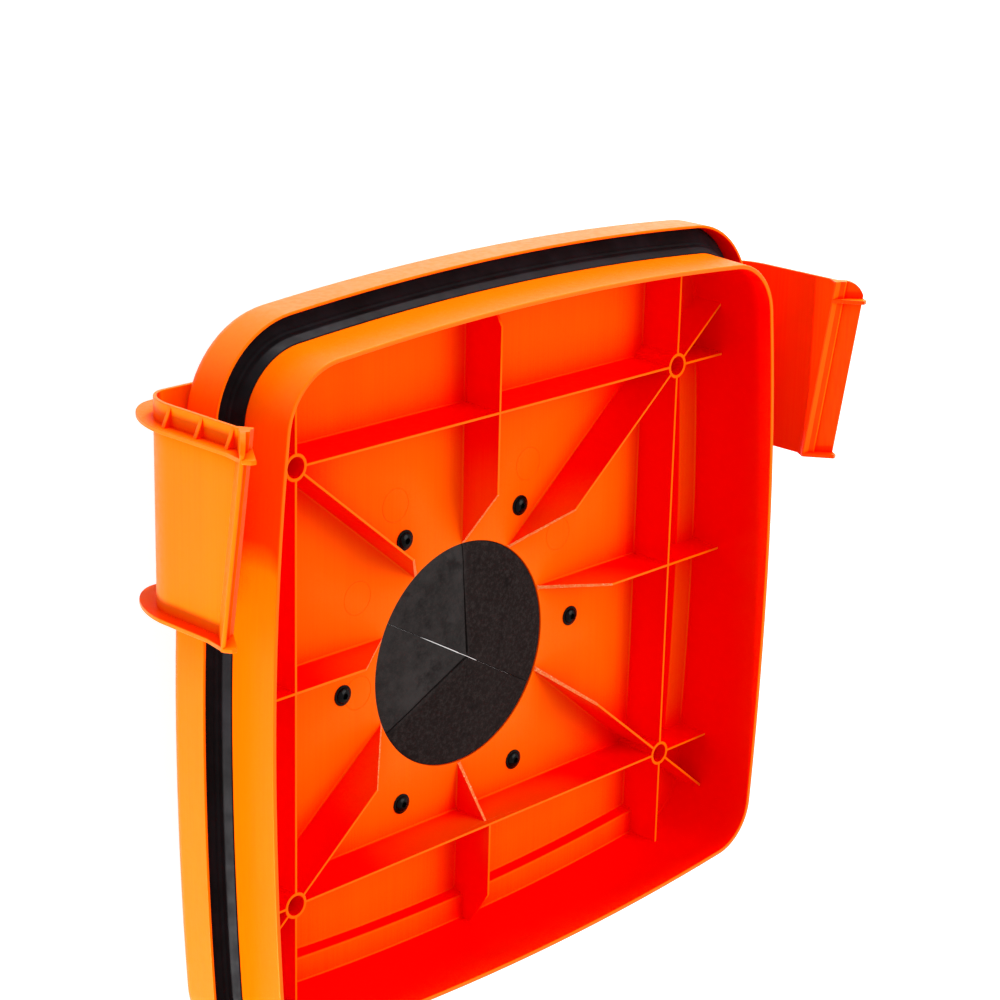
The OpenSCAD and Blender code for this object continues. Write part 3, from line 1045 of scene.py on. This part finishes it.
# ======== clamp
def make_ring():
    """Clamp ring with a round recess for each nut and washer."""
    profile = rounded([(HOLE_R, 0, 2.5), (RING_R, 0, 2.0), (RING_R, FOAM_Z, 0.4),
                       (HOLE_R, FOAM_Z, 0.4)], 4)
    ring = lathe(profile, (0, HOLE_Y), 240)
    cutters = []
    for p in screw_places():
        cutters.append(prism(circle(p.x, p.y, RECESS_R, 48), -2, washers_high.z, upright))
        cutters.append(screw_hole(p, -2, FOAM_Z + 2))
    combine(ring, cutters, "DIFFERENCE")
    finished(ring, "ring", "lid", (ring_plastic,), ("clamp_ring",), 40)


def hexagon(centre, across_flats):
    r = across_flats / 2 / math.cos(math.pi / 6)
    return circle(centre.x, centre.y, r, 6)


def screw(p):
    """Collared button-head screw with a chamfered end and a hexagon socket."""
    face = PLATEAU_IN_Z
    end = screws_low.z
    chamfer = 0.6
    dome_r, dome_z, dome_rise = 4.75, 0.85, 1.95
    profile = [(AXIS, end), (SCREW_R - chamfer, end), (SCREW_R, end + chamfer),
               (SCREW_R, face), (HEAD_R - 0.15, face), (HEAD_R, face + 0.15),
               (HEAD_R, face + 0.55), (HEAD_R - 0.3, face + 0.8)]
    profile += [(dome_r * math.cos(a), face + dome_z + dome_rise * math.sin(a))
                for a in quarter_angles(8)[:-1]]
    profile += [(1.9, face + 2.78), (AXIS, face + 2.8)]
    body = lathe(profile, p, 48)
    socket = prism(hexagon(p, 3.05), face + 0.9, face + 5, upright)
    bevel = lathe([(AXIS, face + 2.35), (1.5, face + 2.35), (2.05, face + 2.9),
                   (AXIS, face + 2.9)], p, 32)
    return combine(body, [socket, bevel], "DIFFERENCE")


def nut(p):
    """Hexagon nut with chamfered corners and a bore that the screw fills."""
    low, high = nuts_low.z, nuts_high.z
    face_r = 4.1
    corner_r = 4.75
    chamfer = 0.45
    body = prism(hexagon(p, 8.0), low, high, upright)
    turned = lathe([(AXIS, low), (face_r, low), (corner_r, low + chamfer),
                    (corner_r, high - chamfer), (face_r, high), (AXIS, high)], p, 48)
    combine(body, [turned], "INTERSECT")
    bore = prism(circle(p.x, p.y, SCREW_R + 0.02, 32), low - 1, high + 1, upright)
    return combine(body, [bore], "DIFFERENCE")


def washer(p):
    low, high = washers_low.z, washers_high.z
    bore_r = SCREW_R + 0.15
    outer_r = 5
    profile = rounded([(bore_r, low, 0.1), (outer_r, low, 0.25), (outer_r, high, 0.25),
                       (bore_r, high, 0.1)], 3)
    return lathe(profile, p, 48)


def make_fasteners():
    places = screw_places()
    finished(joined([screw(p) for p in places]), "screws", "lid",
             (black_steel,), ("clamp_screws",), 30)
    finished(joined([nut(p) for p in places]), "nuts", "lid",
             (zinc_steel,), ("clamp_nuts",), 30)
    finished(joined([washer(p) for p in places]), "washers", "lid",
             (zinc_steel,), ("clamp_washers",), 30)


# ======== latches
def ellipse_arc(centre, radii, start, end):
    steps = 14
    angles = [math.radians(start + (end - start) * k / steps) for k in range(steps + 1)]
    return [(centre[0] + radii[0] * math.cos(a), centre[1] + radii[1] * math.sin(a))
            for a in angles]


def hook_height(y):
    return HOOK_Z + math.tan(HOOK_SLANT) * (y - CHEEK_Y[1])


def latch_wall():
    """Leg over the lid, rounded bend and plate; the plate's free edge follows the hook."""
    inner = PLATE_X - LATCH_T
    thin = (BEND[0] - LATCH_T, BEND[1] - LATCH_T)
    free_z = HOOK_Z - 3
    points = [(LEG_X, LEG_Z)]
    points += ellipse_arc(BEND_C, BEND, 270, 360)
    points += [(PLATE_X, free_z), (inner, free_z)]
    points += ellipse_arc(BEND_C, thin, 360, 270)
    points += [(LEG_X, LEG_Z + LATCH_T)]

    def place(u, v, w):
        z = v + math.tan(HOOK_SLANT) * (w - CHEEK_Y[1]) if v > HOOK_Z - 5 else v
        return (u, w, z)

    return prism(points, LATCH_Y0, LATCH_Y1, place, edge=0.45, steps=3)


def latch_lip():
    """Ridge inside and lip outside, along the slanted edge, with a round far corner.

    The section's heights count from the hook's.
    """
    inner = PLATE_X - LATCH_T
    section = rounded([
        (inner, -7.3, 0), (inner - 4.6, 0, 0.6), (inner - 0.97, 1.41, 0.5),
        (inner + 1.15, 3.53, 0.5), (inner + 3.26, 2.54, 0.5), (inner + 10.1, 11.3, 0.7),
        (PLATE_X + 9.7, 9.7, 0.7), (PLATE_X, -3.7, 1.5), (PLATE_X, -7.3, 0)], 4)

    def place(u, v, w):
        return (u, w, v + hook_height(w))

    lip = prism(section, LATCH_Y0, LATCH_Y1, place, edge=0.45, steps=3)
    spare = 20
    steps = 12
    corner = [(spare, 0), (spare, spare), (0, spare), (0, LIP_R)]
    corner += [(LIP_R * math.cos(a), LIP_R * math.sin(a))
               for a in [math.pi / 2 * (1 - k / steps) for k in range(1, steps + 1)]]
    overhang = 2.6
    turn = Matrix.Rotation(math.radians(-45), 3, "Y")
    origin = Vector((inner, LATCH_Y1, hook_height(LATCH_Y1)))

    def turned(u, v, w):
        return tuple(origin + turn @ Vector((u + overhang, v - LIP_R, w)))

    cutter = prism(corner, -10, 10, turned)
    return combine(lip, [cutter], "DIFFERENCE")


def soft_quarter(centre, radii, power):
    """Quarter of a superellipse from its right end to its lower end."""
    return [(centre[0] + radii[0] * math.cos(a) ** (2 / power),
             centre[1] - radii[1] * math.sin(a) ** (2 / power))
            for a in quarter_angles(16)]


def cheek(y):
    """Side wall of a latch, which wraps the bend and holds the pin."""
    half = LATCH_T / 2
    top = hook_height(y + CHEEK_T / 2)
    foot = LEG_Z - 17.1
    waist = 44
    points = [(PLATE_X - half, top - 9), (PLATE_X - LATCH_T - 4.6, top),
              (PLATE_X + 4.3, top + 15.4), (PLATE_X + 6.9, top + 14.7),
              (PLATE_X + 9.3, top + 11), (PLATE_X + 6.7, top - 4)]
    points += soft_quarter((PLATE_X - 21.1, waist), (27.9, waist - foot), 1.8)
    points += [(PIVOT_X - 5, foot), (PIVOT_X - 9.5, foot + 3.5),
               (PIVOT_X - 11.9, PIVOT_Z - 1.4), (PIVOT_X - 9.5, PIVOT_Z + 3.5),
               (LEG_X, LEG_Z + half)]
    points += ellipse_arc(BEND_C, (BEND[0] - half, BEND[1] - half), 270, 360)
    return prism(points, y, y + CHEEK_T, along_y, edge=0.5, steps=3)


def gusset(z):
    """Small web between the upper cheek and the plate."""
    half = 1.3
    inner = PLATE_X - LATCH_T / 2
    outer = PLATE_X + 4.6
    low = CHEEK_Y[1] + 1.2
    high = LATCH_Y1 - 0.3
    points = [(inner, low), (outer, low), (outer, CHEEK_Y[1] + CHEEK_T),
              (PLATE_X + 1.6, LATCH_Y1 - 4.5), (PLATE_X, high), (inner, high)]
    return prism(points, z - half, z + half, upright, edge=0.5, steps=2)


def notch(y):
    """Cutter for the opening in the leg that leaves room for a lug."""
    inner, outer = PIVOT_X - 12, PIVOT_X + 11
    low, high = y - 1, y + LUG_W + 1
    points = [(inner, low), (outer, low), (outer, high), (inner, high)]
    return prism(points, LEG_Z - 1, LEG_Z + LATCH_T + 1, upright)


def make_latches():
    """The right latch, and the left one as its mirror image."""
    latch = latch_wall()
    parts = [latch_lip()] + [cheek(y) for y in CHEEK_Y] + [gusset(z) for z in GUSSET_Z]
    combine(latch, parts, "UNION")
    pin_room = circle(PIVOT_X, PIVOT_Z, PIN_R + 0.08, 40)
    bore = prism(pin_room, LATCH_Y0 - 2, LATCH_Y1, along_y)
    combine(latch, [bore] + [notch(y) for y in LUG_Y], "DIFFERENCE")
    left = mirrored(latch)
    for obj, side in ((latch, "right"), (left, "left")):
        finished(obj, f"{side}_hook_latch", f"{side}_latch",
                 (latch_plastic,), (f"latch_{side}",), 38)


def make_pins():
    """Hinge pins with a flat head, turned upright and then laid along the lid."""
    start, end = pin_low.y, pin_high.y
    head_r = PIN_R + 1.5
    head_end = start + 1.4
    profile = rounded([(AXIS, start, 0), (head_r, start, 0.4), (head_r, head_end, 0.2),
                       (PIN_R, head_end, 0), (PIN_R, end, 0.6), (AXIS, end, 0)], 3)
    laid = Matrix.Rotation(-math.pi / 2, 4, "X")
    for side, name in ((1, "right"), (-1, "left")):
        pin = lathe(profile, (0, 0), 48)
        pin.data.transform(Matrix.Translation((side * PIVOT_X, 0, PIVOT_Z)) @ laid)
        finished(pin, f"{name}_pin", "lid", (zinc_steel,),
                 (f"hinge_pin_{name}",), 30)


# ======== stage, light and camera
# Name, place, target, width, height and level of each lamp.
LAMPS = (("side", (-1.6, -1.25, 0.08), (0, 0, 0.06), 0.4, 0.10, 1.7),
         ("top", (0.5, 1.95, 0.08), (0, 0, 0.06), 1.0, 0.10, 1.2),
         ("front", (0.9, 0.5, 2.0), (0, 0, 0.04), 1.2, 1.2, 0.6))


def background_rays(tree):
    """1 for rays from the camera and for those that a shiny or clear surface sends on."""
    path = tree.nodes.new("ShaderNodeLightPath")
    seen = path.outputs["Is Camera Ray"]
    for kind in ("Is Glossy Ray", "Is Transmission Ray"):
        either = tree.nodes.new("ShaderNodeMath")
        either.operation = "MAXIMUM"
        tree.links.new(seen, either.inputs[0])
        tree.links.new(path.outputs[kind], either.inputs[1])
        seen = either.outputs[0]
    return seen


def make_floor():
    """White floor that shows as white, but for the object's soft shadow.

    It lies a little below the lid, whose open latches reach below the face it can lie on.
    """
    half = 6
    z = -0.03
    grey = 0.6
    glow = 0.78
    mesh = bpy.data.meshes.new("floor")
    corners = [(-half, -half, z), (half, -half, z), (half, half, z), (-half, half, z)]
    mesh.from_pydata(corners, [], [(0, 1, 2, 3)])
    floor = bpy.data.objects.new("floor", mesh)
    bpy.context.scene.collection.objects.link(floor)
    material = bpy.data.materials.new("floor_white")
    material.use_nodes = True
    tree = material.node_tree
    shader = tree.nodes["Principled BSDF"]
    shader.inputs["Base Color"].default_value = (grey, grey, grey, 1)
    shader.inputs["Roughness"].default_value = 0.9
    level = tree.nodes.new("ShaderNodeMath")
    level.operation = "MULTIPLY"
    level.inputs[1].default_value = glow
    tree.links.new(background_rays(tree), level.inputs[0])
    shader.inputs["Emission Color"].default_value = (1, 1, 1, 1)
    tree.links.new(level.outputs[0], shader.inputs["Emission Strength"])
    mesh.materials.append(material)


def make_world(strength):
    """White surroundings that light the object at a lower strength than they show."""
    world = bpy.data.worlds.new("studio")
    bpy.context.scene.world = world
    world.use_nodes = True
    tree = world.node_tree
    back = tree.nodes["Background"]
    back.inputs["Color"].default_value = (1, 1, 1, 1)
    level = tree.nodes.new("ShaderNodeMapRange")
    level.inputs["To Min"].default_value = strength
    level.inputs["To Max"].default_value = 1
    tree.links.new(background_rays(tree), level.inputs["Value"])
    tree.links.new(level.outputs["Result"], back.inputs["Strength"])


def soft_lamp(name, place, target, width, height, level):
    """Lamp whose level is about the brightness of a white surface that faces it."""
    place = Vector(place)
    way = Vector(target) - place
    data = bpy.data.lights.new(name, "AREA")
    data.shape = "RECTANGLE"
    data.size = width
    data.size_y = height
    data.energy = level * math.pi ** 2 * way.length_squared
    lamp = bpy.data.objects.new(name, data)
    lamp.location = place
    lamp.rotation_euler = way.to_track_quat("-Z", "Y").to_euler()
    bpy.context.scene.collection.objects.link(lamp)


def make_camera():
    """Camera that sees the lid as the photograph does.

    From looking straight down it rolls about its line of sight, tilts towards the horizon,
    and then turns about the vertical to its heading.
    """
    place = (-0.98359, 0.51936, 0.98462)
    roll = math.radians(108.094)
    tilt = math.radians(49.012)
    heading = math.radians(-114.51)
    turn = (Matrix.Rotation(heading, 4, "Z") @ Matrix.Rotation(tilt, 4, "X")
            @ Matrix.Rotation(roll, 4, "Z"))
    data = bpy.data.cameras.new("camera")
    data.lens = 94.67
    data.sensor_width = 36
    data.clip_start = 0.05
    camera = bpy.data.objects.new("camera", data)
    camera.matrix_world = Matrix.Translation(place) @ turn
    bpy.context.scene.collection.objects.link(camera)
    bpy.context.scene.camera = camera


make_lid()
make_seal()
make_foam()
make_ring()
make_fasteners()
make_latches()
make_pins()
make_floor()
make_world(strength=0.7)
for lamp in LAMPS:
    soft_lamp(*lamp)
make_camera()
bpy.context.scene.view_settings.view_transform = "Standard"
